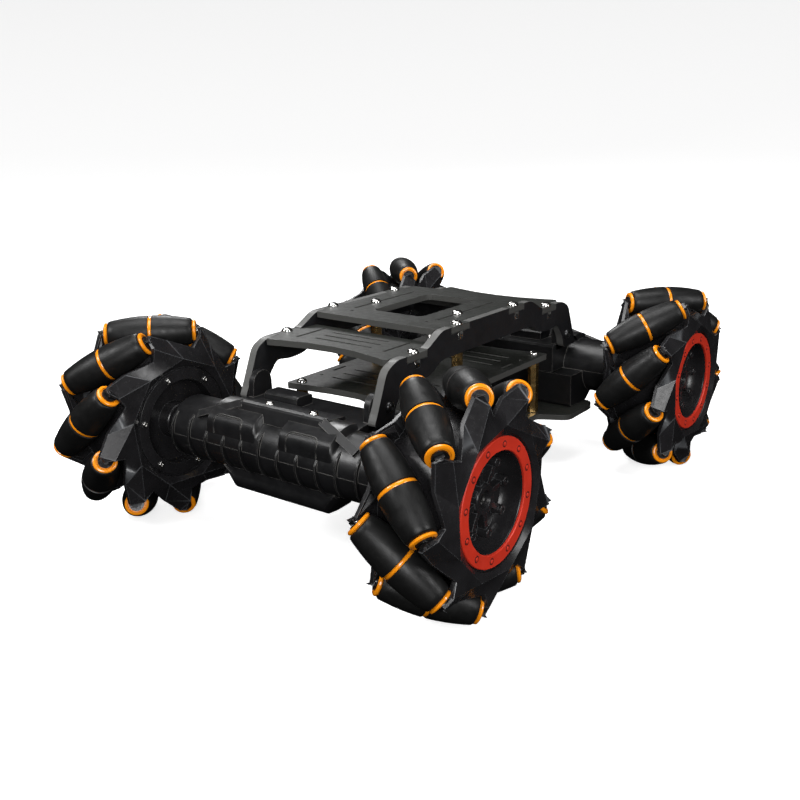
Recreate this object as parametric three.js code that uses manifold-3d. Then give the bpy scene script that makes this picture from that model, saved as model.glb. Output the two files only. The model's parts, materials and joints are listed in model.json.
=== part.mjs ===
// Four-wheel robot chassis that can drive in any direction: two identical motor axles, turned end for end,
// joined by two upright side frames and a stack of flat plates. Every wheel carries slanted barrel rollers.
// Millimetres, +Z up, the front axle at -Y, the right side at +X, standing on z = 0.
import * as THREE from 'three';
import { mergeVertices } from 'three/addons/utils/BufferGeometryUtils.js';
import Module from 'manifold-3d';

// Stance
const TRACK = 178;
const WHEELBASE = 204;
const WHEEL_R = 50;

// Rollers: the axle of each is slanted 45 degrees to the wheel's
const ROLLERS = 9;
const ROLLER_AXIS_R = 41.5;
const ROLLER_HALF = 21.9;
const ROLLER_TILT = Math.PI / 4;
const ROLLER_SIDES = 10;
const REST_ANGLE = { fl: 10.2, fr: 19.5, rl: 8, rr: 11.6 };

// Wheel hub, with the lugs that hold the rollers' pins
const HUB_HALF = 18.7;
const HUB_R = 32.4;
const RIM_TO = 20.4;
const LUG_GAP = 0.4;
const LUG_T = 3.1;
const LUG_HALF_W = 5.5;
const LUG_IN = 25.7;
const LUG_OUT = 44.7;
const LUG_TRIM_R = WHEEL_R - 1.2;

// Flat plates, named by the height of their upper faces
const PLATE_T = 3;
const FLOOR_Z = 31.5;
const MIDDLE_Z = 64.5;
const STEP_Z = 90.9;
const DECK_Z = 97.3;
const SLOT_W = 1.6;
const SCREW_R = 1.6;

// Side frames, cut from thicker sheet, with notches for the tabs of the plates
const FRAME_IN = 36.3;
const FRAME_T = 4;
const GAP = 0.3;
const DECK_TAB_Y = 26;
const STEP_TAB_Y = 61;
const TAB_HALF = 7.5;
const TAB_SCREW_X = 38;
const NUT_DROP = 7;
const LEG_BOLT = { y: 82, z: 71.4, r: 1.8 };

// Standoffs between floor and middle plate
const POST = { x: 34, y: 56, r: 2.9 };

// Axle housings, measured from the axle's own line
const TUBE_R = 14.6;
const TUBE_HALF = 63;
const BULGE_R = 17.6;
const BULGE_FROM = 3;
const BULGE_TO = 37;
const BORE_R = 12.6;
const END_WALL = 3;
const END_HOLE_R = 6.5;
const RIB_PITCH = 11;
const RIB_HALF_W = 0.7;
const RIB_H = 1.1;

// Gear motors, two to an axle, back to back
const MOTOR_R = 12.2;
const MOTOR_FROM = 2.5;
const CAN_TO = 33;
const MOTOR_TO = 58.5;
const NOSE_R = 5;
const NOSE_TO = 61;
const SHAFT_R = 3;
const SHAFT_HOLE_R = 3.25;
const SHAFT_FROM = 50;

const LOOKS = {
  plate: { color: 0x4b4d48, roughness: 0.55, metalness: 0.6 },
  frame: { color: 0x1c1c1d, roughness: 0.6, metalness: 0.3 },
  housing: { color: 0x161617, roughness: 0.45, metalness: 0 },
  motor: { color: 0x8e8f92, roughness: 0.35, metalness: 1 },
  brass: { color: 0xc9a04e, roughness: 0.3, metalness: 1 },
  hub: { color: 0x121214, roughness: 0.25, metalness: 0 },
  roller: { color: 0x1a1a1b, roughness: 0.85, metalness: 0 },
};

const wasm = await Module();
wasm.setup();

// ---- turning geometries into solids and solids into named pieces ----

function solid(geometry) {
  geometry.deleteAttribute('normal');
  geometry.deleteAttribute('uv');
  const merged = mergeVertices(geometry, 1e-4);
  return new wasm.Manifold(new wasm.Mesh({
    numProp: 3,
    vertProperties: new Float32Array(merged.attributes.position.array),
    triVerts: new Uint32Array(merged.index.array),
  }));
}

function piece(name, body, look) {
  const mesh = body.getMesh();
  const geometry = new THREE.BufferGeometry();
  geometry.setAttribute('position', new THREE.BufferAttribute(new Float32Array(mesh.vertProperties), 3));
  geometry.setIndex(Array.from(mesh.triVerts));
  geometry.computeVertexNormals();
  const out = new THREE.Mesh(geometry, new THREE.MeshStandardMaterial(LOOKS[look]));
  out.name = name;
  return out;
}

const union = (bodies) => bodies.reduce((a, b) => a.add(b));
const cut = (body, tools) => tools.reduce((a, b) => a.subtract(b), body);
const onSides = (make) => [make(-1), make(1)];
const atCorners = (make) => [[-1, -1], [1, -1], [-1, 1], [1, 1]].map(([sx, sy]) => make(sx, sy));

function box(x0, x1, y0, y1, z0, z1) {
  const g = new THREE.BoxGeometry(Math.abs(x1 - x0), Math.abs(y1 - y0), Math.abs(z1 - z0));
  return solid(g.translate((x0 + x1) / 2, (y0 + y1) / 2, (z0 + z1) / 2));
}

function rodX(r, x0, x1, sides, y = 0, z = 0) {
  const g = new THREE.CylinderGeometry(r, r, Math.abs(x1 - x0), sides);
  return solid(g.rotateZ(Math.PI / 2).translate((x0 + x1) / 2, y, z));
}

function rodZ(r, x, y, z0, z1, sides) {
  const g = new THREE.CylinderGeometry(r, r, z1 - z0, sides);
  return solid(g.rotateX(Math.PI / 2).translate(x, y, (z0 + z1) / 2));
}

// Closed outline through [x, y, r] points, each corner eased over the length r on both sides
function outline(points) {
  const shape = new THREE.Shape();
  const at = (i) => new THREE.Vector2(...points[(i + points.length) % points.length].slice(0, 2));
  points.forEach(([x, y, r = 0], i) => {
    const before = at(i).add(at(i - 1).sub(at(i)).setLength(r));
    const after = at(i).add(at(i + 1).sub(at(i)).setLength(r));
    if (i === 0) shape.moveTo(before.x, before.y);
    else shape.lineTo(before.x, before.y);
    if (r > 0) shape.quadraticCurveTo(x, y, after.x, after.y);
  });
  return shape;
}

function sheet(points, top, thickness = PLATE_T) {
  const g = new THREE.ExtrudeGeometry(outline(points), { depth: thickness, bevelEnabled: false, curveSegments: 4 });
  return solid(g.translate(0, 0, top - thickness));
}

// A section in Y, Z carried along X
function prismX(points, x0, x1) {
  const g = new THREE.ExtrudeGeometry(outline(points), { depth: x1 - x0, bevelEnabled: false, curveSegments: 4 });
  const toYZ = new THREE.Matrix4().makeBasis(
    new THREE.Vector3(0, 1, 0),
    new THREE.Vector3(0, 0, 1),
    new THREE.Vector3(1, 0, 0),
  );
  return solid(g.applyMatrix4(toYZ).translate(x0, 0, 0));
}

const turned = (points) => points.map(([x, y, r]) => [-x, -y, r]);
const flipped = (points) => points.map(([x, y, r]) => [-x, y, r]).reverse();

// ---- plates ----

const slotX = (half, y, top) => box(-half, half, y - SLOT_W / 2, y + SLOT_W / 2, top - PLATE_T - 1, top + 1);
const slotY = (x, y0, y1, top) => box(x - SLOT_W / 2, x + SLOT_W / 2, y0, y1, top - PLATE_T - 1, top + 1);
const hole = (x, y, top, r = SCREW_R) => rodZ(r, x, y, top - PLATE_T - 1, top + 1, 8);
const tab = (sx, y, top) => box(sx * (FRAME_IN - 3), sx * (FRAME_IN + FRAME_T), y - TAB_HALF, y + TAB_HALF,
  top - PLATE_T, top);

function floorPlate() {
  const end = [[38, -53, 3], [54, -61, 4], [54, -93, 8], [-54, -93, 8], [-54, -61, 4], [-38, -53, 3]];
  const plate = sheet([...end, ...turned(end)], FLOOR_Z);
  return cut(plate, [
    ...atCorners((sx, sy) => hole(sx * POST.x, sy * POST.y, FLOOR_Z)),
    ...onSides((sx) => slotY(sx * 26, -40, 40, FLOOR_Z)),
    ...[-30, -10, 10, 30].map((y) => slotX(18, y, FLOOR_Z)),
  ]);
}

function middlePlate() {
  const end = [[40, -61, 2], [0, -53, 30], [-40, -61, 2]];
  const plate = sheet([...end, ...turned(end)], MIDDLE_Z);
  return cut(plate, [
    ...atCorners((sx, sy) => hole(sx * POST.x, sy * POST.y, MIDDLE_Z)),
    ...atCorners((sx, sy) => hole(sx * 35, sy * 40, MIDDLE_Z, 1)),
    ...atCorners((sx, sy) => slotY(sx * 35, sy * 26 - 5, sy * 26 + 5, MIDDLE_Z)),
    ...onSides((sx) => hole(sx * 25.4, -6.5, MIDDLE_Z)),
    ...onSides((sy) => union([24, 32.5, 41].map((y) => slotX(27, sy * y, MIDDLE_Z)))),
  ]);
}

function deckPlate() {
  const half = FRAME_IN - GAP;
  const body = sheet([[half, -41], [half, 41], [-half, 41], [-half, -41]], DECK_Z);
  const plate = union([body, ...atCorners((sx, sy) => tab(sx, sy * DECK_TAB_Y, DECK_Z))]);
  const window = [[15, -22.5, 4], [15, 26.5, 4], [-15, 26.5, 4], [-15, -22.5, 4]];
  return cut(plate, [
    sheet(window, DECK_Z + 1, PLATE_T + 2),
    ...atCorners((sx, sy) => hole(sx * TAB_SCREW_X, sy * DECK_TAB_Y, DECK_Z)),
    ...onSides((sx) => slotY(sx * 25.4, -24, 28, DECK_Z)),
    ...onSides((sx) => hole(sx * 23, -29, DECK_Z, 1)),
  ]);
}

// One of the two lower end plates, drawn for the rear
function stepPlate() {
  const half = FRAME_IN - GAP;
  const side = [[half, 42], [half, 79, 3]];
  const body = sheet([...side, [0, 68, 30], ...flipped(side)], STEP_Z);
  const plate = union([body, ...onSides((sx) => tab(sx, STEP_TAB_Y, STEP_Z))]);
  return cut(plate, [
    ...onSides((sx) => hole(sx * TAB_SCREW_X, STEP_TAB_Y, STEP_Z)),
    ...onSides((sx) => slotY(sx * 26, 46, 67, STEP_Z)),
    ...[51, 57.5, 64].map((y) => slotX(17, y, STEP_Z)),
  ]);
}

// ---- side frames ----

// Notch for a tab, and under it the pocket of the nut that takes the tab's screw
function notch(y, top) {
  const x0 = FRAME_IN - 1;
  const x1 = FRAME_IN + FRAME_T + 1;
  const wide = TAB_HALF + GAP;
  return box(x0, x1, y - wide, y + wide, top - PLATE_T - GAP, top + 1)
    .add(box(x0, x1, y - 2, y + 2, top - NUT_DROP, top));
}

function sideFrame() {
  const upper = [[-79, 64, 3], [-93, 64.5, 3], [-90.3, 70], [-83.2, 87.5, 3], [-76, STEP_Z, 3], [-53, STEP_Z, 3],
    [-41, DECK_Z, 3]];
  const arch = [[-42, 83.6, 4], [-50, 78.6, 4], [-61, 77.4, 5], [-70.5, 79, 3], [-77, 71, 3]];
  const body = prismX([...upper, ...flipped(upper), ...flipped(arch), ...arch], FRAME_IN, FRAME_IN + FRAME_T);
  return cut(body, [
    ...onSides((sy) => notch(sy * DECK_TAB_Y, DECK_Z)),
    ...onSides((sy) => notch(sy * STEP_TAB_Y, STEP_Z)),
    ...onSides((sy) => rodX(LEG_BOLT.r, FRAME_IN - 1, FRAME_IN + FRAME_T + 1, 8, sy * LEG_BOLT.y, LEG_BOLT.z)),
  ]);
}

function standoff() {
  return rodZ(POST.r, 0, 0, FLOOR_Z + GAP, MIDDLE_Z - PLATE_T - GAP, 6);
}

// ---- axles: the origin is the middle of the axle's line, +Y outward from the chassis ----

const lineOfLegBolt = [LEG_BOLT.y - WHEELBASE / 2, LEG_BOLT.z - WHEEL_R];

function motorRoom() {
  return rodX(BORE_R, END_WALL - TUBE_HALF, TUBE_HALF - END_WALL, 24)
    .add(rodX(END_HOLE_R, -TUBE_HALF - 1, TUBE_HALF + 1, 12));
}

function ribs(count) {
  const centres = Array.from({ length: count }, (_, i) => (i - (count - 1) / 2) * RIB_PITCH);
  return union(centres.map((x) => rodX(TUBE_R + RIB_H, x - RIB_HALF_W, x + RIB_HALF_W, 20)));
}

function halfSpace(up) {
  const reach = 200;
  return box(-reach, reach, -reach, reach, up * GAP / 2, up * reach);
}

function housingUpper() {
  const deck = prismX([[-28, 0], [-2, 0], [4, 13.6], [-9, 15.5, 3], [-28, 15.5, 3]], -36, 36);
  const room = prismX([[-25.5, -1], [-12, -1], [-12, 13], [-25.5, 13]], -33.5, 33.5);
  const bulges = onSides((sx) => rodX(BULGE_R, sx * BULGE_FROM, sx * BULGE_TO, 24));
  const ear = [[-26, 12], [-11, 12], [-12, 25, 3], [-18, 28, 3], [-25, 24, 3]];
  const ears = [prismX(ear, 30, 36), prismX(ear, -36, -30)];
  const whole = union([rodX(TUBE_R, -TUBE_HALF, TUBE_HALF, 24), deck, ...bulges, ...ears]);
  return cut(whole.intersect(halfSpace(1)), [
    motorRoom(),
    room,
    rodX(LEG_BOLT.r, -37, 37, 8, ...lineOfLegBolt),
  ]);
}

function housingLower() {
  const foot = prismX([[-28, 0], [-2, 0], [-2, -13], [-9, -18.2, 3], [-28, -18.2, 3]], -48, 48);
  const room = prismX([[-25.5, 1], [-14, 1], [-14, -15.5], [-25.5, -15.5]], -45.5, 45.5);
  const belly = prismX([[-8, -8], [12, -8, 3], [8, -20, 4], [0, -22.6, 3], [-8, -22]], -27, 27);
  const whole = union([rodX(TUBE_R, -TUBE_HALF, TUBE_HALF, 24), foot, belly, ribs(10)]);
  return cut(whole.intersect(halfSpace(-1)), [motorRoom(), room]);
}

// Drawn for the +X side
function gearMotor() {
  const body = union([
    rodX(MOTOR_R, MOTOR_FROM, CAN_TO, 20),
    rodX(MOTOR_R - 0.8, CAN_TO - 1, CAN_TO + 2, 20),
    rodX(MOTOR_R, CAN_TO + 1, MOTOR_TO, 20),
    rodX(NOSE_R, MOTOR_TO - 1, NOSE_TO, 12),
  ]);
  return body.subtract(rodX(SHAFT_HOLE_R, SHAFT_FROM - GAP, NOSE_TO + 1, 16));
}

// ---- wheels: the origin is the wheel's centre, +X outward, twist +1 or -1 for the two hands ----

// The barrel fills the wheel's round outline: distance of its skin from its own axis, along that axis
function rollerProfile() {
  const skin = [-3, -2, 0, 2, 3].map((step) => {
    const along = (step / 3) * ROLLER_HALF * 0.94;
    const across = along * Math.cos(ROLLER_TILT);
    const reach = Math.hypot(ROLLER_AXIS_R, across);
    const lean = (across * Math.cos(ROLLER_TILT)) / reach;
    const swell = WHEEL_R - reach;
    return new THREE.Vector2(swell * Math.sqrt(1 - lean * lean), along + swell * lean);
  });
  const end = skin[skin.length - 1];
  return [new THREE.Vector2(0, -end.y), ...skin, new THREE.Vector2(0, end.y)];
}

function roller() {
  return solid(new THREE.LatheGeometry(rollerProfile(), ROLLER_SIDES));
}

// A frame at one roller: +Z out from the wheel's axle, +Y along the roller
function rollerStation(angle, twist) {
  const place = new THREE.Matrix4().makeRotationX(Math.PI / 2 - THREE.MathUtils.degToRad(angle));
  return place.multiply(new THREE.Matrix4().makeRotationZ(-twist * ROLLER_TILT));
}

function lugs(restAngle, twist) {
  const near = ROLLER_HALF + LUG_GAP;
  const out = [];
  for (let i = 0; i < ROLLERS; i += 1) {
    for (const end of [-1, 1]) {
      const g = new THREE.BoxGeometry(2 * LUG_HALF_W, LUG_T, LUG_OUT - LUG_IN);
      g.translate(0, end * (near + LUG_T / 2), (LUG_IN + LUG_OUT) / 2);
      out.push(solid(g.applyMatrix4(rollerStation(restAngle - (360 / ROLLERS) * i, twist))));
    }
  }
  return union(out).intersect(rodX(LUG_TRIM_R, -HUB_HALF, HUB_HALF, 27));
}

function hub(restAngle, twist) {
  const toShaft = SHAFT_FROM - TRACK / 2;
  const profile = [[0, toShaft], [SHAFT_R, toShaft], [SHAFT_R, -18], [9, -18], [13, -14], [24, -14],
    [27, -HUB_HALF], [HUB_R, -HUB_HALF], [HUB_R, RIM_TO - 3], [31, RIM_TO], [28, RIM_TO],
    [26.5, HUB_HALF], [20.6, HUB_HALF], [9, 8], [6.2, 8], [6.2, 13], [3.4, 13], [3.4, 5], [0, 5]];
  const core = new THREE.LatheGeometry(profile.map(([r, x]) => new THREE.Vector2(r, x)), 18);
  return solid(core.rotateZ(-Math.PI / 2)).add(lugs(restAngle, twist));
}

function wheel(name, twist) {
  const group = new THREE.Group();
  group.add(piece(`wheel_hub_${name}`, hub(REST_ANGLE[name], twist), 'hub'));
  for (let i = 0; i < ROLLERS; i += 1) {
    const mesh = piece(`roller_${name}_${i + 1}`, roller(), 'roller');
    const station = rollerStation(REST_ANGLE[name] - (360 / ROLLERS) * i, twist);
    mesh.quaternion.setFromRotationMatrix(station);
    mesh.position.set(0, 0, ROLLER_AXIS_R).applyMatrix4(station);
    group.add(mesh);
  }
  return group;
}

// ---- assembly ----

// Wheels and motors of one axle; the wheel at +X has one hand and the wheel at -X the other
function axle(label, nameAtPlusX, nameAtMinusX) {
  const group = new THREE.Group();
  group.add(piece(`${label}_housing_upper`, housingUpper(), 'housing'));
  group.add(piece(`${label}_housing_lower`, housingLower(), 'housing'));
  for (const [name, twist] of [[nameAtPlusX, 1], [nameAtMinusX, -1]]) {
    const side = new THREE.Group();
    side.rotation.z = twist > 0 ? 0 : Math.PI;
    side.add(piece(`gear_motor_${name}`, gearMotor(), 'motor'));
    const turning = wheel(name, twist);
    turning.position.x = TRACK / 2;
    side.add(turning);
    group.add(side);
  }
  return group;
}

function chassis() {
  const group = new THREE.Group();
  group.name = 'four_wheel_robot_chassis';
  group.add(piece('floor_plate', floorPlate(), 'plate'));
  group.add(piece('middle_plate', middlePlate(), 'plate'));
  group.add(piece('top_plate', deckPlate(), 'plate'));

  for (const [label, turn, names] of [['front', Math.PI, ['fl', 'fr']], ['rear', 0, ['rr', 'rl']]]) {
    const step = piece(`${label}_step_plate`, stepPlate(), 'plate');
    step.rotation.z = turn;
    const unit = axle(label, ...names);
    unit.rotation.z = turn;
    unit.position.set(0, (turn ? -1 : 1) * WHEELBASE / 2, WHEEL_R);
    group.add(step, unit);
  }

  for (const [name, turn] of [['left', Math.PI], ['right', 0]]) {
    const frame = piece(`side_frame_${name}`, sideFrame(), 'frame');
    frame.rotation.z = turn;
    group.add(frame);
  }

  for (const [name, sx, sy] of [['fl', -1, -1], ['fr', 1, -1], ['rl', -1, 1], ['rr', 1, 1]]) {
    const post = piece(`standoff_${name}`, standoff(), 'brass');
    post.position.set(sx * POST.x, sy * POST.y, 0);
    group.add(post);
  }
  return group;
}

const root = chassis();
root.position.z = -new THREE.Box3().setFromObject(root, true).min.z;

export default root;
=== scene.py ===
"""Looks of the four wheel robot chassis: materials, detailed wheels, rollers, axle housings and fasteners."""

import json
import math

import bmesh
import bpy
from mathutils import Matrix, Vector


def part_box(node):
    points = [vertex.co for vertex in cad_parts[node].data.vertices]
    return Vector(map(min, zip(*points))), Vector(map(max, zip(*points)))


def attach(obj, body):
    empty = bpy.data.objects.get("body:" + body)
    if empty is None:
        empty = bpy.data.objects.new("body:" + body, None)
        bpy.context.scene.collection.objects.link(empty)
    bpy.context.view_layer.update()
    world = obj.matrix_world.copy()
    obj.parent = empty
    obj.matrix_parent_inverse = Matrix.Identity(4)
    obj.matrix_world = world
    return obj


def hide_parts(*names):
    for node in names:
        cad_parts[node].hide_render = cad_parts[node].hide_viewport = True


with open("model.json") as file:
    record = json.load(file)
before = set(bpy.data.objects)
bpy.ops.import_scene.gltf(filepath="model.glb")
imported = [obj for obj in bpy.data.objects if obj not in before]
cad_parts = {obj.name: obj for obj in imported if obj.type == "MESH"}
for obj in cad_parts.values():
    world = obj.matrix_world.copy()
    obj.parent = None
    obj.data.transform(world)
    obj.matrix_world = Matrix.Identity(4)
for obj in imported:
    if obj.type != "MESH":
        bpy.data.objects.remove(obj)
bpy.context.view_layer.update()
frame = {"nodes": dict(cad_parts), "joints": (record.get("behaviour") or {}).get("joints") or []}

MM = 0.001
CORNERS = ("fl", "fr", "rl", "rr")
JOINTS = {joint["child"]: joint for joint in frame["joints"]}
AXLE_Z = JOINTS["wheel_fr"]["pos_m"][2] / MM


# ---------------------------------------------------------------- materials

# Noise seldom leaves this range, so it counts as nothing at one end and as full at the other
NOISE_LOW = 0.3
NOISE_HIGH = 0.7

# Width in millimetres of the patches of colour, the patches of gloss and the worn spots
COLOUR_PATCH = 9.0
GLOSS_PATCH = 3.0
WORN_SPOT = 1.1

# Noise level at which a worn spot starts and at which it is complete
WEAR_STARTS = 0.62
WEAR_FULL = 0.72

# Share by which roughness swings either way
ROUGH_SWING = 0.18
COAT_ROUGHNESS = 0.06

# How squarely a surface faces along a sheet's thickness, on its faces and on its cut sides
FACE_SQUARE = 0.85
SIDE_SQUARE = 0.6

# How far the softened normal agrees with the true one, away from an edge and on it
AWAY_FROM_EDGE = 0.95
ON_EDGE = 0.8
EDGE_WIDTH = 0.45
EDGE_SAMPLES = 6
ROUND_OFF_SAMPLES = 4


def node(tree, kind, inputs=None):
    """Adds a node and sets the inputs that are named."""
    made = tree.nodes.new(kind)
    for name, value in (inputs or {}).items():
        made.inputs[name].default_value = value
    return made


def scaled(colour, k):
    """A colour made darker or lighter, with full alpha."""
    return (colour[0] * k, colour[1] * k, colour[2] * k, 1)


def remap(tree, value, low, high, to_low=0.0, to_high=1.0):
    """Carries a value from one range to another, and stops at the ends of the second."""
    ranges = {"From Min": low, "From Max": high, "To Min": to_low, "To Max": to_high}
    made = node(tree, "ShaderNodeMapRange", ranges)
    tree.links.new(value, made.inputs["Value"])
    return made.outputs["Result"]


def noise(tree, size, detail=3.0):
    """Noise whose features are about size millimetres across, in the piece's own coordinates."""
    where = node(tree, "ShaderNodeTexCoord")
    made = node(tree, "ShaderNodeTexNoise", {"Scale": 1 / (size * MM), "Detail": detail})
    tree.links.new(where.outputs["Object"], made.inputs["Vector"])
    return made.outputs["Fac"]


def between(tree, factor, low, high):
    """Turns noise into values from low to high."""
    return remap(tree, factor, NOISE_LOW, NOISE_HIGH, low, high)


def blend_colour(tree, factor, a, b):
    """Mixes two colours, each of which is a constant or another node's output."""
    made = node(tree, "ShaderNodeMix")
    made.data_type = "RGBA"
    factor_socket, a_socket, b_socket, result_socket = 0, 6, 7, 2
    for socket, value in ((a_socket, a), (b_socket, b)):
        if isinstance(value, tuple):
            made.inputs[socket].default_value = value
        else:
            tree.links.new(value, made.inputs[socket])
    tree.links.new(factor, made.inputs[factor_socket])
    return made.outputs[result_socket]


def sides_of(tree, axis):
    """1 on the cut sides of a sheet and 0 on its two faces; the sheet's thickness runs along axis."""
    where = node(tree, "ShaderNodeTexCoord")
    split = node(tree, "ShaderNodeSeparateXYZ")
    tree.links.new(where.outputs["Normal"], split.inputs[0])
    size = node(tree, "ShaderNodeMath")
    size.operation = "ABSOLUTE"
    tree.links.new(split.outputs[axis], size.inputs[0])
    return remap(tree, size.outputs[0], FACE_SQUARE, SIDE_SQUARE)


def softened_normal(tree, radius, samples):
    """The surface's normal as if its edges were rounded to a radius in millimetres."""
    soft = node(tree, "ShaderNodeBevel", {"Radius": radius * MM})
    soft.samples = samples
    return soft.outputs["Normal"]


def edge_mask(tree):
    """1 along sharp edges and 0 elsewhere."""
    flat = node(tree, "ShaderNodeNewGeometry")
    dot = node(tree, "ShaderNodeVectorMath")
    dot.operation = "DOT_PRODUCT"
    tree.links.new(softened_normal(tree, EDGE_WIDTH, EDGE_SAMPLES), dot.inputs[0])
    tree.links.new(flat.outputs["True Normal"], dot.inputs[1])
    return remap(tree, dot.outputs["Value"], AWAY_FROM_EDGE, ON_EDGE)


def finish(name, colour, rough, metal=0.0, grain=0.4, relief=0.02, spread=0.25, wear=None, sides=None,
           coat=0.0, round_off=0.0, shine=0.5, painted_glint=None):
    """A procedural material: mottled colour, uneven gloss and fine relief.

    grain, relief and round_off are in millimetres. wear is the colour of small worn spots, sides is a
    sheet's thickness axis with the colour of its cut sides, and painted_glint is the colour of a painted
    highlight laid along sharp edges.
    """
    made = bpy.data.materials.new(name)
    made.use_nodes = True
    tree = made.node_tree
    shader = tree.nodes["Principled BSDF"]
    shader.inputs["Metallic"].default_value = metal
    shader.inputs["Coat Weight"].default_value = coat
    shader.inputs["Coat Roughness"].default_value = COAT_ROUGHNESS
    shader.inputs["Specular IOR Level"].default_value = shine

    mottle = between(tree, noise(tree, COLOUR_PATCH), 0, 1)
    tint = blend_colour(tree, mottle, scaled(colour, 1 - spread), scaled(colour, 1 + spread))
    if wear:
        spots = remap(tree, noise(tree, WORN_SPOT, detail=6.0), WEAR_STARTS, WEAR_FULL)
        tint = blend_colour(tree, spots, tint, scaled(wear, 1))
    if sides:
        axis, side_colour = sides
        tint = blend_colour(tree, sides_of(tree, axis), tint, scaled(side_colour, 1))
    # Sharp edges get a painted highlight: a paler colour laid on through the edge mask, standing in for
    # glints of light.
    if painted_glint:
        tint = blend_colour(tree, edge_mask(tree), tint, scaled(painted_glint, 1))
    tree.links.new(tint, shader.inputs["Base Color"])

    smoothest = rough * (1 - ROUGH_SWING)
    roughest = rough * (1 + ROUGH_SWING)
    gloss = between(tree, noise(tree, GLOSS_PATCH), smoothest, roughest)
    tree.links.new(gloss, shader.inputs["Roughness"])

    bump = node(tree, "ShaderNodeBump", {"Strength": 1.0, "Distance": relief * MM})
    tree.links.new(noise(tree, grain, detail=5.0), bump.inputs["Height"])
    if round_off:
        tree.links.new(softened_normal(tree, round_off, ROUND_OFF_SAMPLES), bump.inputs["Normal"])
    tree.links.new(bump.outputs["Normal"], shader.inputs["Normal"])
    return made


PLATE = finish("plate_anodised", (0.015, 0.016, 0.014), 0.42, grain=0.25, relief=0.015, spread=0.12,
               sides=("Z", (0.055, 0.055, 0.052)), round_off=0.25, shine=0.4)
FRAME = finish("frame_anodised", (0.009, 0.009, 0.010), 0.45, grain=0.5, relief=0.04, spread=0.2,
               sides=("X", (0.085, 0.085, 0.082)), round_off=0.3, shine=0.3)
# The housing and the wheel plastic carry a painted highlight along their sharp edges.
HOUSING = finish("housing_moulded", (0.007, 0.007, 0.0075), 0.34, grain=0.3, relief=0.012,
                 wear=(0.012, 0.012, 0.0125), shine=0.4, painted_glint=(0.16, 0.155, 0.145))
GLOSS = finish("wheel_gloss_plastic", (0.013, 0.0125, 0.0135), 0.26, grain=2.5, relief=0.01,
               shine=0.35, painted_glint=(0.09, 0.093, 0.098))
RUBBER = finish("roller_rubber", (0.006, 0.006, 0.006), 0.42, grain=0.2, relief=0.02,
                wear=(0.011, 0.011, 0.0105), shine=0.26)
ORANGE = finish("ring_orange", (0.86, 0.27, 0.006), 0.24, grain=0.8, relief=0.006, spread=0.12, coat=0.3)
RED = finish("ring_red", (0.62, 0.035, 0.016), 0.42, metal=0.1, grain=0.25, relief=0.01, spread=0.08)
# Dark red painted shadow round the bolts of the red ring
RECESS_PAINTED_SHADOW = finish("ring_red_painted_shadow", (0.10, 0.006, 0.004), 0.6, spread=0.3)
# Near-black painted shade for the insides of screw sockets
SOCKET_SHADE = finish("socket_painted_shade", (0.004, 0.004, 0.004), 0.7, spread=0.4)
STEEL = finish("screw_steel", (0.62, 0.61, 0.59), 0.22, metal=1.0, grain=0.3, relief=0.008, spread=0.12)
BLACK_OXIDE = finish("bolt_black_oxide", (0.06, 0.06, 0.062), 0.3, metal=0.9, grain=0.3, relief=0.01,
                     spread=0.3)
BRASS = finish("brass", (0.78, 0.50, 0.19), 0.25, metal=1.0, grain=0.3, relief=0.01, spread=0.12,
               round_off=0.3)
MOTOR = finish("motor_can", (0.45, 0.45, 0.46), 0.32, metal=1.0, grain=0.4, relief=0.01, spread=0.12)


# ---------------------------------------------------------------- mesh building

MERGE = 0.0004
SMOOTH_BELOW = 34
BEVEL_ABOVE = 28


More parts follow.
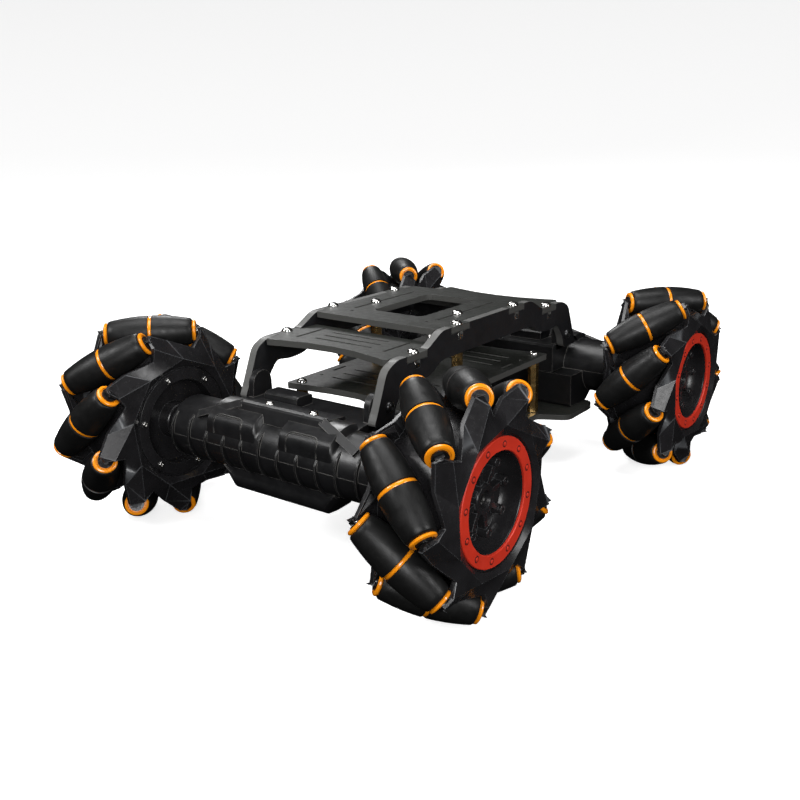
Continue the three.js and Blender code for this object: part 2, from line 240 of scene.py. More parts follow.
class Shape:
    """Collects surfaces in millimetres into one piece with several materials."""

    def __init__(self, place=None):
        self.bm = bmesh.new()
        self.place = place or (lambda point: point)
        self.looks = []

    def look(self, material):
        if material not in self.looks:
            self.looks.append(material)
        return self.looks.index(material)

    def vertex(self, point):
        return self.bm.verts.new(self.place(Vector(point)) * MM)

    def face(self, points, material, smooth=False):
        made = self.bm.faces.new([self.vertex(point) for point in points])
        made.material_index = self.look(material)
        made.smooth = smooth

    def grid(self, rows, material, smooth=True, closed=False):
        """Quads between neighbouring rows of points; closed joins each row's end to its start."""
        made = [[self.vertex(point) for point in row] for row in rows]
        index = self.look(material)
        width = len(made[0])
        for row, following in zip(made, made[1:]):
            for i in range(width if closed else width - 1):
                j = (i + 1) % width
                quad = self.bm.faces.new((row[i], row[j], following[j], following[i]))
                quad.material_index = index
                quad.smooth = smooth

    def bar(self, rows, material):
        """A solid bar through closed sections, capped at both ends."""
        self.grid(rows, material, smooth=False, closed=True)
        self.face(rows[0], material)
        self.face(rows[-1], material)

    def turn(self, profile, material, at=Matrix.Identity(4), start=0.0, sweep=360.0, steps=32):
        """Sweeps (radius, height) points round the local Z axis, through sweep degrees from start."""
        whole = sweep >= 360
        count = steps if whole else steps + 1
        angles = [math.radians(start + sweep * i / steps) for i in range(count)]
        rows = []
        for r, h in profile:
            rows.append([at @ Vector((r * math.cos(a), r * math.sin(a), h)) for a in angles])
        self.grid(rows, material, closed=whole)
        if not whole:
            for edge in (0, -1):
                self.face([row[edge] for row in rows], material)

    def prism(self, outline, low, high, material, at=Matrix.Identity(4)):
        """Extrudes a closed outline of local X, Y points along local Z."""
        base = [at @ Vector((x, y, low)) for x, y in outline]
        top = [at @ Vector((x, y, high)) for x, y in outline]
        self.face(base, material)
        self.face(top, material)
        self.grid([base, top], material, smooth=False, closed=True)

    def clean(self):
        """Joins the surfaces where they meet and turns every face outward."""
        bmesh.ops.remove_doubles(self.bm, verts=self.bm.verts, dist=MERGE * MM)
        bmesh.ops.recalc_face_normals(self.bm, faces=self.bm.faces)

    def mesh(self, name):
        made = bpy.data.meshes.new(name)
        self.bm.to_mesh(made)
        self.bm.free()
        for material in self.looks:
            made.materials.append(material)
        return made

    def done(self, name, body, replaces=(), bevel=0.0):
        self.clean()
        set_up(name, self.mesh(name), body, replaces, bevel)


def add_object(name, data):
    made = bpy.data.objects.new(name, data)
    bpy.context.scene.collection.objects.link(made)
    return made


def set_up(name, mesh, body, replaces=(), bevel=0.0):
    """Puts a mesh in the scene as one piece of a body, with a bevel in millimetres if one is asked for."""
    made = add_object(name, mesh)
    mesh.set_sharp_from_angle(angle=math.radians(SMOOTH_BELOW))
    if bevel:
        soften = made.modifiers.new("edges", "BEVEL")
        soften.width = bevel * MM
        soften.segments = 2
        soften.limit_method = "ANGLE"
        soften.angle_limit = math.radians(BEVEL_ABOVE)
        soften.harden_normals = True
    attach(made, body)
    if replaces:
        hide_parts(*replaces)


def basis(x, y, z, origin=(0, 0, 0)):
    """Frame whose axes are the three vectors."""
    made = Matrix((x, y, z)).transposed().to_4x4()
    made.translation = Vector(origin)
    return made


# Local X, Y and Z run along the model's Y, Z and X
ALONG_X = basis(Vector((0, 1, 0)), Vector((0, 0, 1)), Vector((1, 0, 0)))


def spun(degrees, x=0.0, z=0.0):
    """Frame turned round Z and then moved x along its own X and z along Z."""
    return Matrix.Rotation(math.radians(degrees), 4, "Z") @ Matrix.Translation((x, 0, z))


def arc(cx, cy, r, start, end, steps=8):
    """Points of a circular arc, angles in degrees."""
    turn = [math.radians(start + (end - start) * i / steps) for i in range(steps + 1)]
    return [(cx + r * math.cos(a), cy + r * math.sin(a)) for a in turn]


def rectangle(half_x, half_y):
    return [(-half_x, -half_y), (half_x, -half_y), (half_x, half_y), (-half_x, half_y)]


# ---------------------------------------------------------------- rollers

WHEEL_R = 50.0
ROLLER_AXIS_R = 41.5
ROLLER_HALF = 22.0
RUBBER_END = ROLLER_HALF - 2.2
RUBBER_RINGS = (5, 9, 13, 17)
MIDDLE_RING_HALF = 0.8
MIDDLE_RING_R = 7.95
END_RING_BORE = 3.4
END_RING_DEPTH = 1.7
END_RING_SEAT = 1.2
COLLAR_R = 3.5
PIN_R = 1.5
PIN_HALF = ROLLER_HALF + 1.4
# The skin keeps just inside the wheel's round outline
SKIN_SCALE = 0.985
SKIN_OFFSET = 0.02


def barrel(s):
    """Radius of a roller's skin at s along its axis: it fills the round outline of the wheel."""
    reach = math.hypot(ROLLER_AXIS_R, s / math.sqrt(2))
    return (WHEEL_R - reach) * SKIN_SCALE + SKIN_OFFSET


def rubber_profile():
    """Half of the rubber, from the groove of the middle ring to the seat of the end ring."""
    end_r = barrel(RUBBER_END)
    groove = [(5.0, MIDDLE_RING_HALF), (8.0, MIDDLE_RING_HALF), (8.35, 1.0), (barrel(1.5), 1.5)]
    skin = [(barrel(s), s) for s in RUBBER_RINGS]
    last = RUBBER_END - 0.9
    edge = [(barrel(last), last), (end_r - 0.25, RUBBER_END - 0.3), (end_r - 0.8, RUBBER_END),
            (3.0, RUBBER_END)]
    return groove + skin + edge


def end_ring_profile():
    outer = barrel(RUBBER_END) - 0.55
    return [(END_RING_BORE, RUBBER_END), (outer - 0.5, RUBBER_END + 0.05), (outer, RUBBER_END + 0.6),
            (outer - 0.1, RUBBER_END + 1.3), (outer - 0.7, RUBBER_END + END_RING_DEPTH),
            (4.3, RUBBER_END + END_RING_DEPTH), (4.1, RUBBER_END + END_RING_SEAT),
            (END_RING_BORE, RUBBER_END + END_RING_SEAT)]


def roller_mesh():
    """One roller about local Z: two rubber halves, a ring between them and one at each end, and a pin."""
    shape = Shape()
    near, far = RUBBER_END + 0.8, ROLLER_HALF - 0.1
    collar = [(1.6, near), (END_RING_BORE, near), (COLLAR_R, far), (1.6, far)]
    for side in (-1, 1):
        for profile, material, steps in (
            (rubber_profile(), RUBBER, 40),
            (end_ring_profile(), ORANGE, 40),
            (collar, BLACK_OXIDE, 24),
        ):
            shape.turn([(r, side * s) for r, s in profile], material, steps=steps)
    half, r = MIDDLE_RING_HALF, MIDDLE_RING_R
    middle = [(7.0, -half), (r - 0.15, -0.75), (r, -0.4), (r, 0.4), (r - 0.15, 0.75), (7.0, half)]
    shape.turn(middle, ORANGE, steps=40)
    chamfer = 0.2
    pin = [(0, -PIN_HALF), (PIN_R - chamfer, -PIN_HALF), (PIN_R, chamfer - PIN_HALF),
           (PIN_R, PIN_HALF - chamfer), (PIN_R - chamfer, PIN_HALF), (0, PIN_HALF)]
    shape.turn(pin, STEEL, steps=16)
    shape.clean()
    return shape.mesh("roller")


def rollers():
    mesh = roller_mesh()
    for body, joint in JOINTS.items():
        if body.startswith("roller"):
            along = Vector(joint["axis"]).normalized()
            where = along.to_track_quat("Z", "Y").to_matrix().to_4x4()
            where.translation = Vector(joint["pos_m"])
            placed = mesh.copy()
            placed.transform(where)
            set_up(f"look_{body}", placed, body, [body])


# ---------------------------------------------------------------- wheels

# Corners of one arm of a wheel's side disc: radius, degrees round from the roller's middle, outward distance
CREST_IN = (31.0, -3.1, 20.3)
CREST_OUT = (41.8, 20.4, 19.3)
TIP = (46.4, 19.0, 17.7)
HEEL = (46.2, 16.2, 15.4)
NOTCH = (36.0, 24.5, 18.7)
ROOT = (40.4, 4.1, 14.9)
ARMS = 9
ARM_PITCH = 360 / ARMS
DISC_T = 2.0
CORE_R = 32.0
CORE_HALF = 17.6
# Where the back of an arm meets the core
BACK_R = CORE_R - 1
BACK_X = 14
LIP_STEPS = 6

# The flat ring on each face of a wheel, and the circle of its bolts
RING_IN = 20.6
RING_OUT = 26.2
RING_FACE = 18.7
BOLT_CIRCLE = 23.2
BOLT_PHASE = 21.25
RING_BOLTS = 12
INNER_SCREWS = 6
RIM_R = 27.2
RIM_X = RING_FACE + 0.1
RIM_STEP = 0.3

# The square nuts on the roller pins
LUG_NEAR = ROLLER_HALF + 0.35
NUT_HALF = 1.9
NUT_SINK = 0.3
NUT_RISE = 1.2

# The recessed middle of the outer face
FLOOR_X = 8.5
SHAFT_SLEEVE_R = 6.6
SHAFT_SLEEVE_X = 13.1
SLEEVE_BORE = 3.4
SHAFT_R = 2.9
SHAFT_TIP = 11.2
SHAFT_DEPTH = 6.0
RIBS_IN_DISH = 8
RIB_PHASE = 15
RIB_END_AT = 15.4
RIB_END_R = 2.2
RIB_HEIGHT = 3.6

# The coupling and the output shaft on the inner face
COUPLING_R = 9.0
COUPLING_X = -18.1
OUTPUT_SHAFT_R = 3.0
OUTPUT_SHAFT_END = -27.0


def wheel_place(corner):
    """Turns (radial, tangential, outward) into the model's frame; the first roller is on the radial axis."""
    centre = Vector(JOINTS[f"wheel_{corner}"]["pos_m"])
    first = JOINTS[f"roller_{corner}_1"]
    outward = Vector((math.copysign(1, centre.x), 0, 0))
    radial = (Vector(first["pos_m"]) - centre).normalized()
    along = Vector(first["axis"])
    if along.dot(outward) < 0:
        along = -along
    tangent = -(along - outward * along.dot(outward)).normalized()
    return lambda p: centre / MM + radial * p.x + tangent * p.y + outward * p.z


def polar(corner, arm, side, drop=0.0):
    """A disc corner in wheel coordinates; side is 1 for the outer disc and -1 for the inner one."""
    r, degrees, x = corner
    a = math.radians(degrees + arm * ARM_PITCH)
    return (r * math.cos(a), side * r * math.sin(a), side * (x - drop))


def disc_arm(shape, side, arm):
    """One arm of a side disc: a kite-shaped facet on one flank of its crest, and plain facets beside it."""
    def at(corner, ahead=0, drop=0.0):
        return polar(corner, arm + ahead, side, drop)

    facets = (
        (at(CREST_IN), at(ROOT), at(HEEL), at(CREST_OUT)),
        (at(CREST_OUT), at(HEEL), at(TIP)),
        (at(CREST_IN), at(CREST_OUT), at(NOTCH)),
        (at(CREST_OUT), at(TIP), at(NOTCH)),
        (at(CREST_IN), at(NOTCH), at(CREST_IN, 1)),
        (at(NOTCH), at(ROOT, 1), at(CREST_IN, 1)),
    )
    for points in facets:
        shape.face(points, GLOSS)
    outline = ((ROOT, 0), (HEEL, 0), (TIP, 0), (NOTCH, 0), (ROOT, 1))
    front = [at(corner, ahead) for corner, ahead in outline]
    back = [at(corner, ahead, DISC_T) for corner, ahead in outline]
    shape.grid([front, back], GLOSS, smooth=False)
    shape.face(back + [at((BACK_R, ARM_PITCH, BACK_X)), at((BACK_R, 0, BACK_X))], GLOSS)

    start, end = Vector(at(CREST_IN)), Vector(at(CREST_IN, 1))
    chord = [start.lerp(end, i / LIP_STEPS) for i in range(LIP_STEPS + 1)]
    turns = [CREST_IN[1] + ARM_PITCH * i / LIP_STEPS for i in range(LIP_STEPS + 1)]
    lip = [at((RIM_R, degrees, RIM_X)) for degrees in turns]
    shape.grid([chord, lip], GLOSS, smooth=False)


def roller_end(arm, side):
    """Frame at the end of a roller's pin: local Z along the pin, away from the roller; Y radial."""
    a = math.radians(arm * ARM_PITCH)
    radial = Vector((math.cos(a), math.sin(a), 0))
    tangent = Vector((-math.sin(a), math.cos(a), 0))
    along = (Vector((0, 0, 1)) - tangent).normalized() * side
    across = (Vector((0, 0, 1)) + tangent).normalized() * side
    return basis(across, radial, along, radial * ROLLER_AXIS_R)


def bracket(shape, side, arm):
    """The block behind a kite facet, which carries the end of a roller's pin."""
    end = roller_end(arm + side, side)
    flat = end.inverted()
    corners = (CREST_IN, ROOT, HEEL, TIP, CREST_OUT)
    front = [Vector(polar(corner, arm * side, side)) for corner in corners]
    back = []
    for point in front:
        local = flat @ point
        back.append(end @ Vector((local.x, local.y, LUG_NEAR)))
    shape.grid([front, back], GLOSS, smooth=False, closed=True)
    shape.face(back, GLOSS)


def pin_nuts(shape):
    square = rectangle(NUT_HALF, NUT_HALF)
    for arm in range(ARMS):
        for side in (-1, 1):
            at = roller_end(arm, side)
            shape.prism(square, LUG_NEAR - NUT_SINK, LUG_NEAR + NUT_RISE, BLACK_OXIDE, at)


def dish(shape):
    """The recessed middle of a wheel's outer face: wall, floor, ribs with round ends, and the shaft."""
    seat = RING_FACE - 1.2
    wall = [(RIM_R, RIM_X), (RIM_R - RIM_STEP, seat), (RING_IN, seat), (RING_IN - 0.3, RING_FACE - 1.6),
            (19.9, 13.0), (19.4, 10.0), (18.3, FLOOR_X)]
    sleeve = [(SHAFT_SLEEVE_R, FLOOR_X), (6.3, 12.6), (5.9, SHAFT_SLEEVE_X), (3.9, SHAFT_SLEEVE_X),
              (3.5, 12.6), (SLEEVE_BORE, SHAFT_DEPTH), (0, SHAFT_DEPTH)]
    shape.turn(wall + sleeve, GLOSS, steps=72)
    tip = [(0, SHAFT_TIP), (2.5, SHAFT_TIP), (SHAFT_R, 10.9), (SHAFT_R, SHAFT_DEPTH)]
    shape.turn(tip, STEEL, steps=24)

    foot = FLOOR_X - 0.5
    top = FLOOR_X + 4.9
    rib_outline = [(5.8, -1.3), (14.4, -0.9), (14.4, 0.9), (5.8, 1.3)]
    socket = FLOOR_X + 3.8
    boss = [(RIB_END_R, foot), (2.1, FLOOR_X + 4.6), (1.8, top), (1.0, top), (0.9, socket), (0, socket)]
    for i in range(RIBS_IN_DISH):
        degrees = RIB_PHASE + 360 / RIBS_IN_DISH * i
        shape.prism(rib_outline, foot, FLOOR_X + RIB_HEIGHT, GLOSS, spun(degrees))
        shape.turn(boss, GLOSS, spun(degrees, RIB_END_AT), steps=16)


def inner_face(shape):
    """The face towards the chassis: a plain ring, a shallow web, the coupling and the steel output shaft."""
    step = -RING_FACE + 1.0
    web = [(RIM_R, -RIM_X), (RIM_R - RIM_STEP, step), (RING_OUT, step), (RING_OUT - 0.3, -RING_FACE),
           (RING_IN, -RING_FACE), (RING_IN - 0.6, -12.4), (COUPLING_R, -11.6), (COUPLING_R - 0.2, -17.6),
           (8.3, COUPLING_X), (3.1, COUPLING_X)]
    shape.turn(web, GLOSS, steps=72)
    shape.turn([(OUTPUT_SHAFT_R, -17.0), (OUTPUT_SHAFT_R, OUTPUT_SHAFT_END)], STEEL, steps=32)
    head = [(1.5, 0), (1.4, 0.7), (1.0, 1.0), (0.7, 1.0), (0.6, 0.5), (0, 0.5)]
    for i in range(INNER_SCREWS):
        at = spun(BOLT_PHASE + 360 / INNER_SCREWS * i, BOLT_CIRCLE, -RING_FACE)
        shape.turn(head, STEEL, at @ Matrix.Rotation(math.pi, 4, "X"), steps=16)


def red_ring(shape):
    """The coloured ring on the outer face, with a bolt in each of its shallow recesses; each recess is only a
    dark red ring of painted shadow round its bolt.
    """
    face, chamfer = RING_FACE, 0.3
    profile = [(RING_IN, face - 1.1), (RING_IN, face - chamfer), (RING_IN + chamfer, face),
               (RING_OUT - chamfer, face), (RING_OUT, face - chamfer), (RING_OUT, face - 1.1)]
    shape.turn(profile, RED, steps=96)
    shadow_ring_r, bolt_r = 1.45, 0.85
    shadow_ring = [(shadow_ring_r, face - 0.2), (shadow_ring_r, face + 0.03), (bolt_r, face + 0.03)]
    bolt = [(bolt_r, face), (0.8, face + 0.25), (0.5, face + 0.36), (0, face + 0.38)]
    for i in range(RING_BOLTS):
        at = spun(BOLT_PHASE + 360 / RING_BOLTS * i, BOLT_CIRCLE)
        # A dark red ring of painted shadow round each bolt
        shape.turn(shadow_ring, RECESS_PAINTED_SHADOW, at, steps=20)
        shape.turn(bolt, RED, at, steps=20)


def wheels():
    for corner in CORNERS:
        place = wheel_place(corner)
        body = f"wheel_{corner}"
        discs = Shape(place)
        for side in (-1, 1):
            for arm in range(ARMS):
                disc_arm(discs, side, arm)
            for arm in range(ARMS):
                bracket(discs, side, arm)
        discs.turn([(CORE_R, -CORE_HALF), (CORE_R, CORE_HALF)], GLOSS, steps=72)
        discs.done(f"wheel_discs_{corner}", body, [f"wheel_hub_{corner}"], bevel=0.35)
        middle = Shape(place)
        dish(middle)
        inner_face(middle)
        pin_nuts(middle)
        middle.done(f"wheel_middle_{corner}", body, bevel=0.15)
        trim = Shape(place)
        red_ring(trim)
        trim.done(f"wheel_ring_{corner}", body)


# ---------------------------------------------------------------- axle housings

# A housing's own frame has X along the tube, Y outward from the chassis and Z up, about the tube's axis.
# Outlines below are (outward, up) points, and angles run from straight outward up over the top.
AXLE_Y = 102.0
TUBE_R = 14.6
TUBE_HALF = 63.0
TUBE_BORE = 6.6
SEAM = 0.1
TUBE_STEPS = 40

RIBS = 12
RIB_PITCH = 11.0
RIB_RISE = 1.25
RIB_LOW = -54.0
RIB_HIGH = 45
RIB_UNDER_BULGE = 21
RIB_STEPS = 28

# The two motor bulges: ranges along the tube, and the angles between which they are drawn
BULGES = ((-36.5, -4.5), (7.5, 39.5))
BULGE_RISE = 3.0
BULGE_SINK = 0.2
BULGE_LOW = 14
BULGE_SWEEP = 92
BULGE_SWELL = 34
BULGE_STEPS = 24
BULGE_NEAR_SLOPE = 2.2
BULGE_FAR_SLOPE = 1.4

# The raised line round a bulge's panel
LINE_LOW = 20.0
LINE_HIGH = 50.0
LINE_NEAR_INSET = 9.5
LINE_FAR_INSET = 5.5
LINE_CORNER = 3.0
LINE_SECTION = ((-0.45, -0.15), (-0.2, 0.32), (0.2, 0.32), (0.45, -0.15))

# The deck, the block on it, the ears for the side frames and the belly below
BODY_HALF = 36
DECK_HALF = 24.5
BLOCK_ALONG = (4, 24)
EAR_ALONG = (32.8, 36)
DECK_SCREW = (13, -1.5, 17.9)
FOOT_HALF = 48
BELLY_TOP = -11.3
BELLY_SECTIONS = ((-33, 7.5), (-27, 0.0), (27, 0.0), (33, 7.5))


def on_tube(x, r, degrees):
    a = math.radians(degrees)
    return Vector((x, r * math.cos(a), r * math.sin(a)))


def ease(t):
    """Rises smoothly from 0 to 1 as t does."""
    t = min(1.0, max(0.0, t))
    return t * t * (3 - 2 * t)


def tube_half(shape, start):
    """Half of the motor tube, from just past the seam at start degrees to just before the other seam."""
    end = [(TUBE_BORE, 2.5), (TUBE_BORE, 0), (13.2, 0), (14.2, 0.6), (TUBE_R, 1.6)]
    profile = [(r, inset - TUBE_HALF) for r, inset in end]
    profile += [(r, TUBE_HALF - inset) for r, inset in reversed(end)]
    shape.turn(profile, HOUSING, ALONG_X, start + SEAM, 180 - 2 * SEAM, TUBE_STEPS)


def rib(shape, x, low, high):
    """A thin crescent fin on the front of the tube: it rises out of the skin and sinks back into it."""
    rows = []
    for i in range(RIB_STEPS + 1):
        t = i / RIB_STEPS
        rise = RIB_RISE * min(1.0, 6 * t, 6 * (1 - t)) - 0.15
        section = ((-0.7, -0.3), (-0.5, rise), (0.5, rise), (0.7, -0.3))
        degrees = low + (high - low) * t
        rows.append([on_tube(x + dx, TUBE_R + dr, degrees) for dx, dr in section])
    shape.bar(rows, HOUSING)


def bulge_skin(x0, x1, x, degrees):
    """Radius of a bulge: it swells out of the tube towards the top and drops at both ends."""
    lift = ease((degrees - BULGE_LOW) / BULGE_SWELL)
    shoulder = ease((x - x0) / BULGE_NEAR_SLOPE) * ease((x1 - x) / BULGE_FAR_SLOPE)
    return TUBE_R - BULGE_SINK + (BULGE_RISE + BULGE_SINK) * lift * shoulder


def bulge(shape, x0, x1):
    """The skin over one motor, in rows that are close together on its two end slopes."""
    near, far, spans = 4, 3.4, 5
    along = [x0 + inset for inset in (0, 0.5, 1.0, 1.5, BULGE_NEAR_SLOPE, near)]
    along += [x0 + near + (x1 - x0 - near - far) * i / spans for i in range(1, spans + 1)]
    along += [x1 - inset for inset in (2.4, BULGE_FAR_SLOPE, 0.9, 0.4, 0)]
    angles = [BULGE_LOW + BULGE_SWEEP * i / BULGE_STEPS for i in range(BULGE_STEPS + 1)]
    rows = [[on_tube(x, bulge_skin(x0, x1, x, degrees), degrees) for degrees in angles] for x in along]
    shape.grid(rows, HOUSING)


def panel_line(shape, x0, x1):
    """A raised line round three sides of a bulge's panel: across its top and down both sides."""
    left, right = x0 + LINE_NEAR_INSET, x1 - LINE_FAR_INSET
    turn = math.degrees(LINE_CORNER / (TUBE_R + BULGE_RISE))
    quarter = [math.radians(degrees) for degrees in (22, 45, 68, 90)]
    path = [(left, LINE_LOW), (left, LINE_HIGH - turn)]
    for q in quarter:
        path.append((left + LINE_CORNER * (1 - math.cos(q)), LINE_HIGH - turn * (1 - math.sin(q))))
    path.append((right - LINE_CORNER, LINE_HIGH))
    for q in quarter:
        path.append((right - LINE_CORNER * (1 - math.sin(q)), LINE_HIGH - turn * (1 - math.cos(q))))
    path.append((right, LINE_LOW))

    rows = []
    for i, (x, degrees) in enumerate(path):
        ahead = path[min(i + 1, len(path) - 1)]
        behind = path[max(i - 1, 0)]
        run = Vector((ahead[0] - behind[0], (ahead[1] - behind[1]) / turn * LINE_CORNER)).normalized()
        row = []
        for out, rise in LINE_SECTION:
            side_x = x - run.y * out
            side_degrees = degrees + run.x * out / LINE_CORNER * turn
            r = bulge_skin(x0, x1, side_x, side_degrees) + rise
            row.append(on_tube(side_x, r, side_degrees))
        rows.append(row)
    shape.bar(rows, HOUSING)


def strut(shape, side):
    """The thin flat tie from the deck's corner down to the tube's end."""
    start = Vector((side * 23.5, 5.0, 18.6))
    along = Vector((side * 46.5, 10.8, 10.8)) - start
    length = along.length
    along.normalize()
    across = along.cross(Vector((0, 0.7, 0.7))).normalized()
    at = basis(across, along.cross(across), along, start)
    shape.prism(rectangle(1.9, 0.7), 0, length, HOUSING, at)


def housing_upper(shape):
    tube_half(shape, 0)
    body = [(-28, 0.2), (-2, 0.2), (4, 13.6), (-9, 15.5), (-27, 15.5), (-28, 14.5)]
    shape.prism(body, -BODY_HALF, BODY_HALF, HOUSING, ALONG_X)
    deck = [(-10, 13), (8, 12.5), (6.0, 18.8), (5.2, 19.5), (2.5, 19.5), (1.9, 18.3), (-8.5, 17.4),
            (-10, 15.4)]
    shape.prism(deck, -DECK_HALF, DECK_HALF, HOUSING, ALONG_X)
    block = [(-20, 15), (-9, 15), (-9.4, 19.6), (-11, 20.4), (-18.6, 20.4), (-20, 19.6)]
    shape.prism(block, *BLOCK_ALONG, HOUSING, ALONG_X)
    for x0, x1 in BULGES:
        bulge(shape, x0, x1)
        panel_line(shape, x0, x1)
    ear = [(-24, 12), (-11, 12)] + arc(-17.5, 21.4, 6.0, 0, 180, 12)
    ear_in, ear_out = EAR_ALONG
    for side in (-1, 1):
        strut(shape, side)
        screw_x, screw_y, screw_z = DECK_SCREW
        pan_head(shape, Matrix.Translation((side * screw_x, screw_y, screw_z)), 2.2)
        shape.prism(ear, side * ear_in, side * ear_out, HOUSING, ALONG_X)
    for k in range(RIBS):
        x = (k - (RIBS - 1) / 2) * RIB_PITCH
        covered = any(x0 - 1.5 < x < x1 - 0.5 for x0, x1 in BULGES)
        rib(shape, x, RIB_LOW, RIB_UNDER_BULGE if covered else RIB_HIGH)


def housing_lower(shape):
    tube_half(shape, 180)
    foot = [(-28, -0.2), (-2, -0.2), (-2, -13), (-9, -18.2), (-27, -18.2), (-28, -17)]
    shape.prism(foot, -FOOT_HALF, FOOT_HALF, HOUSING, ALONG_X)
    belly = [(9.2, BELLY_TOP), (9.4, -14)] + arc(4.6, -17.2, 5.2, 20, -70, 8)
    belly += [(0.5, -22.5), (-8, -22), (-8, BELLY_TOP)]
    rows = []
    for x, lifted in BELLY_SECTIONS:
        rows.append([Vector((x, u, min(BELLY_TOP, v + lifted))) for u, v in belly])
    shape.bar(rows, HOUSING)


def housings():
    """The two axle housings; the front one is the rear one turned round."""
    for label, side, turn in (("front", -1, math.pi), ("rear", 1, 0.0)):
        where = Matrix.Translation((0, side * AXLE_Y, AXLE_Z)) @ Matrix.Rotation(turn, 4, "Z")
        for half, build in (("upper", housing_upper), ("lower", housing_lower)):
            shape = Shape(lambda point, where=where: where @ point)
            build(shape)
            piece, carried = f"housing_{label}_{half}", f"{label}_housing_{half}"
            shape.done(piece, "chassis", [carried], bevel=0.5)


# ---------------------------------------------------------------- fasteners

DECK_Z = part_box("top_plate")[1].z / MM
STEP_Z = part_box("front_step_plate")[1].z / MM
MIDDLE_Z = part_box("middle_plate")[1].z / MM
FLOOR_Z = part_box("floor_plate")[1].z / MM
PLATE_T = 3.0
FRAME_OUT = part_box("side_frame_right")[1].x / MM
FRAME_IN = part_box("side_frame_right")[0].x / MM

# Screws through the tabs of the top plate and the step plates: distance along the chassis, and plate's top
TAB_X = 38
TAB_SCREWS = ((26, DECK_Z), (61, STEP_Z))
STANDOFF_X = 34
STANDOFF_Y = 56
CENTRE_X = 25.4
CENTRE_Y = -6.5
AXLE_BOLT_Y = 82
AXLE_BOLT_Z = AXLE_Z + 21.4
HEAD_R = 2.8
UPSIDE_DOWN = Matrix.Rotation(math.pi, 4, "X")


def pan_head(shape, at, r=HEAD_R, material=STEEL):
    """A domed screw head with a hexagon socket, standing on local Z = 0; the socket's inside is painted
    near-black as painted shade.
    """
    rim, rim_z = r * 0.46, 1.68
    dome = [(r, 0), (r, 0.25), (r * 0.93, 0.9), (r * 0.75, 1.4), (r * 0.55, 1.65), (rim, rim_z)]
    shape.turn(dome, material, at, steps=24)
    # The socket's inside is painted near-black, as painted shade in the hollow.
    shape.turn([(rim, rim_z), (r * 0.42, 0.6), (0, 0.5)], SOCKET_SHADE, at, steps=6)


def outward_at(side, y, z, x):
    """Frame on a side of the chassis whose local Z points away from the chassis and whose Y points up."""
    return basis(Vector((0, side, 0)), Vector((0, 0, 1)), Vector((side, 0, 0)), (side * x, y, z))


def screws():
    shape = Shape()
    for sx in (-1, 1):
        for sy in (-1, 1):
            for y, top in TAB_SCREWS:
                pan_head(shape, Matrix.Translation((sx * TAB_X, sy * y, top)))
                shaft = [(1.45, top - 6.6), (1.45, top - PLATE_T)]
                shape.turn(shaft, STEEL, Matrix.Translation((sx * TAB_X, sy * y, 0)), steps=12)
            x, y = sx * STANDOFF_X, sy * STANDOFF_Y
            pan_head(shape, Matrix.Translation((x, y, MIDDLE_Z)), 2.6)
            pan_head(shape, Matrix.Translation((x, y, FLOOR_Z - PLATE_T)) @ UPSIDE_DOWN, 2.6)
            pan_head(shape, outward_at(sx, sy * AXLE_BOLT_Y, AXLE_BOLT_Z, FRAME_OUT), 2.7, BLACK_OXIDE)
        pan_head(shape, Matrix.Translation((sx * CENTRE_X, CENTRE_Y, DECK_Z)))
    shape.done("screws", "chassis")


def nuts():
    """Square nuts in the side frames, each under the tab of a plate."""
    shape = Shape()
    block = rectangle(1.85, 1.1)
    for sx in (-1, 1):
        for sy in (-1, 1):
            for y, top in TAB_SCREWS:
                at = outward_at(sx, sy * y, top - 5.7, 0)
                shape.prism(block, FRAME_IN + 0.2, FRAME_OUT + 0.15, STEEL, at)
    shape.done("square_nuts", "chassis", bevel=0.2)


def centre_standoffs():
    shape = Shape()
    hexagon = arc(0, 0, 3.15, 0, 300, 5)
    for sx in (-1, 1):
        at = Matrix.Translation((sx * CENTRE_X, CENTRE_Y, 0))
        shape.prism(hexagon, MIDDLE_Z, DECK_Z - PLATE_T, BRASS, at)
    shape.done("centre_standoffs", "chassis", bevel=0.3)


# ---------------------------------------------------------------- carried-over nodes


def repaint():
    looks = (
        (PLATE, ("floor_plate", "middle_plate", "top_plate", "front_step_plate", "rear_step_plate")),
        (FRAME, ("side_frame_left", "side_frame_right")),
        (BRASS, [f"standoff_{corner}" for corner in CORNERS]),
        (MOTOR, [f"gear_motor_{corner}" for corner in CORNERS]),
    )
    for material, names in looks:
        for name in names:
            mesh = frame["nodes"][name].data
            mesh.materials.clear()
            mesh.materials.append(material)


# ---------------------------------------------------------------- camera and light

# The photograph's viewing angle in degrees, and the camera's place in millimetres from the floor's middle
AZIMUTH = 35.44
ELEVATION = 14.354
ROLL = -0.418
CAMERA_AT = (294.5, -412.4, 153.4 + AXLE_Z)
FOCAL_LENGTH = 45.38
SHIFT_X = -0.031
SHIFT_Y = -0.0625

# Name, place in metres, size in metres and power in watts
LIGHTS = (
    ("top", (0.0, -0.1, 1.1), (0.9, 0.7), 12),
    ("key", (-0.45, -0.9, 0.8), (0.5, 0.4), 9),
    ("rim", (-0.75, 0.55, 0.75), (0.35, 0.25), 4),
    ("side", (1.1, 0.1, 0.5), (0.25, 0.6), 5),
    ("front", (0.75, -0.9, 0.45), (0.45, 0.5), 9),
)
LIGHT_TARGET = Vector((0, 0, 0.05))

# The paper dome round the object: radius and height in millimetres
SWEEP_PROFILE = ((0, 0), (1200, 0), (1700, 90), (2200, 420), (2500, 1000), (2600, 1900), (2000, 3000),
                 (0, 3600))
SWEEP_GLOW = 0.72
SKY_HORIZON = 0.05
SKY_OVERHEAD = 0.5


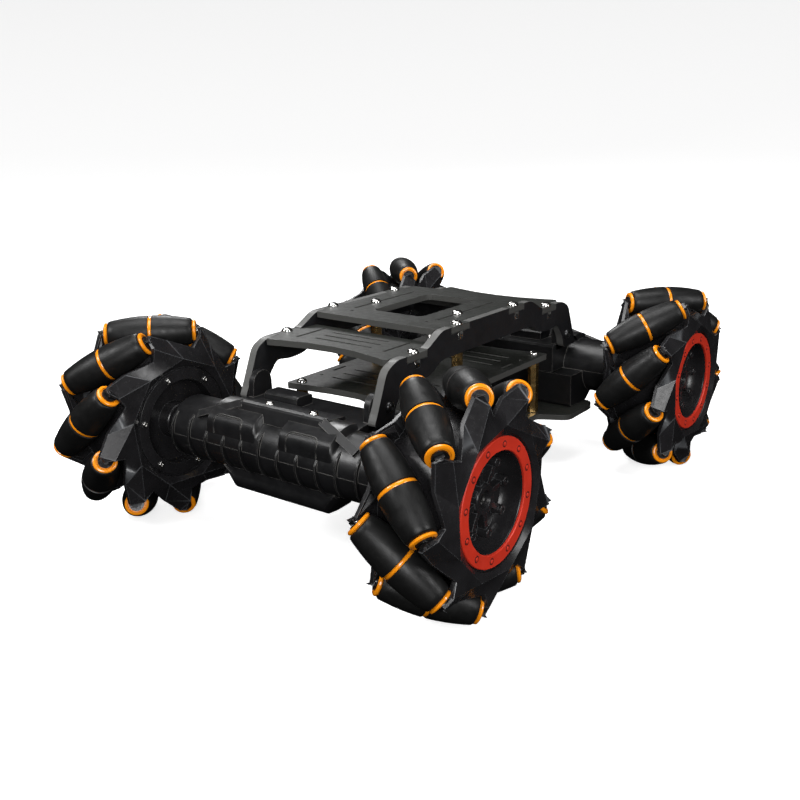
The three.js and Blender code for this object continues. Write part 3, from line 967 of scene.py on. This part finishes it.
def camera():
    azimuth, elevation, roll = (math.radians(degrees) for degrees in (AZIMUTH, ELEVATION, ROLL))
    level = math.cos(elevation)
    back = Vector((math.sin(azimuth) * level, -math.cos(azimuth) * level, math.sin(elevation)))
    right = Vector((math.cos(azimuth), math.sin(azimuth), 0))
    above = back.cross(right)
    across = right * math.cos(roll) + above * math.sin(roll)
    upright = above * math.cos(roll) - right * math.sin(roll)
    lens = bpy.data.cameras.new("camera")
    lens.lens = FOCAL_LENGTH
    lens.shift_x = SHIFT_X
    lens.shift_y = SHIFT_Y
    made = add_object("camera", lens)
    made.matrix_world = basis(across, upright, back, Vector(CAMERA_AT) * MM)
    bpy.context.scene.camera = made


def area_light(name, place, size, power):
    light = bpy.data.lights.new(name, "AREA")
    light.shape = "RECTANGLE"
    light.size, light.size_y = size
    light.energy = power
    made = add_object(name, light)
    made.location = place
    made.rotation_euler = (Vector(place) - LIGHT_TARGET).to_track_quat("Z", "Y").to_euler()


def sweep_material():
    """Pale paper, lit a little from within so that it stays even to its far edge."""
    made = finish("studio_paper", (0.80, 0.80, 0.80), 0.9, spread=0.01, relief=0.0, shine=0.0)
    shader = made.node_tree.nodes["Principled BSDF"]
    shader.inputs["Emission Color"].default_value = (1, 1, 1, 1)
    shader.inputs["Emission Strength"].default_value = SWEEP_GLOW
    return made


def sky_dome(tree):
    """Dim round the horizon and brighter overhead, as in a studio with a soft ceiling."""
    where = node(tree, "ShaderNodeTexCoord")
    split = node(tree, "ShaderNodeSeparateXYZ")
    tree.links.new(where.outputs["Generated"], split.inputs[0])
    glow = remap(tree, split.outputs["Z"], 0.1, 0.9, SKY_HORIZON, SKY_OVERHEAD)
    tree.links.new(glow, tree.nodes["Background"].inputs["Strength"])


def studio():
    """The paper dome, which only the camera sees, the sky and the lights."""
    sweep = Shape()
    sweep.turn(SWEEP_PROFILE, sweep_material(), steps=64)
    paper = add_object("sweep", sweep.mesh("sweep"))
    paper.visible_diffuse = False
    paper.visible_glossy = False
    paper.visible_shadow = False
    world = bpy.data.worlds.new("studio")
    world.use_nodes = True
    sky_dome(world.node_tree)
    bpy.context.scene.world = world
    for light in LIGHTS:
        area_light(*light)


bpy.context.scene.view_settings.view_transform = "Standard"
repaint()
rollers()
wheels()
housings()
screws()
nuts()
centre_standoffs()
camera()
studio()
